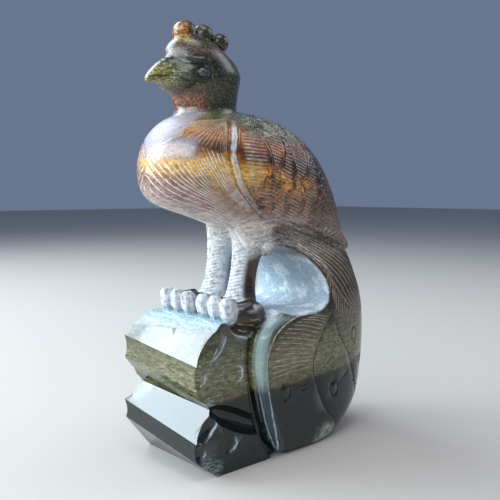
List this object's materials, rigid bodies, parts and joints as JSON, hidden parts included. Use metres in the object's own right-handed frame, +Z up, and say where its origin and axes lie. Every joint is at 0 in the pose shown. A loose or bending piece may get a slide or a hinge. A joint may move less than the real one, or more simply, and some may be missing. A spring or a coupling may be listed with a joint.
{
  "type": "bird carving",
  "caption": "Crested peacock standing on a faceted rock with its train sweeping down behind it, carved from one piece of polished stone.",
  "frame": {"origin": "middle of the carving's bounding box, on the flat underside", "axes": "+Z up, the bird looks towards -Y and its left side is +X"},
  "size_m": [0.0544, 0.1138, 0.1794],
  "materials": {
    "jasper": "polished, matt in the carved lines"
  },
  "bodies": {
    "root": {"peacock_carving": "jasper"}
  },
  "joints": []
}
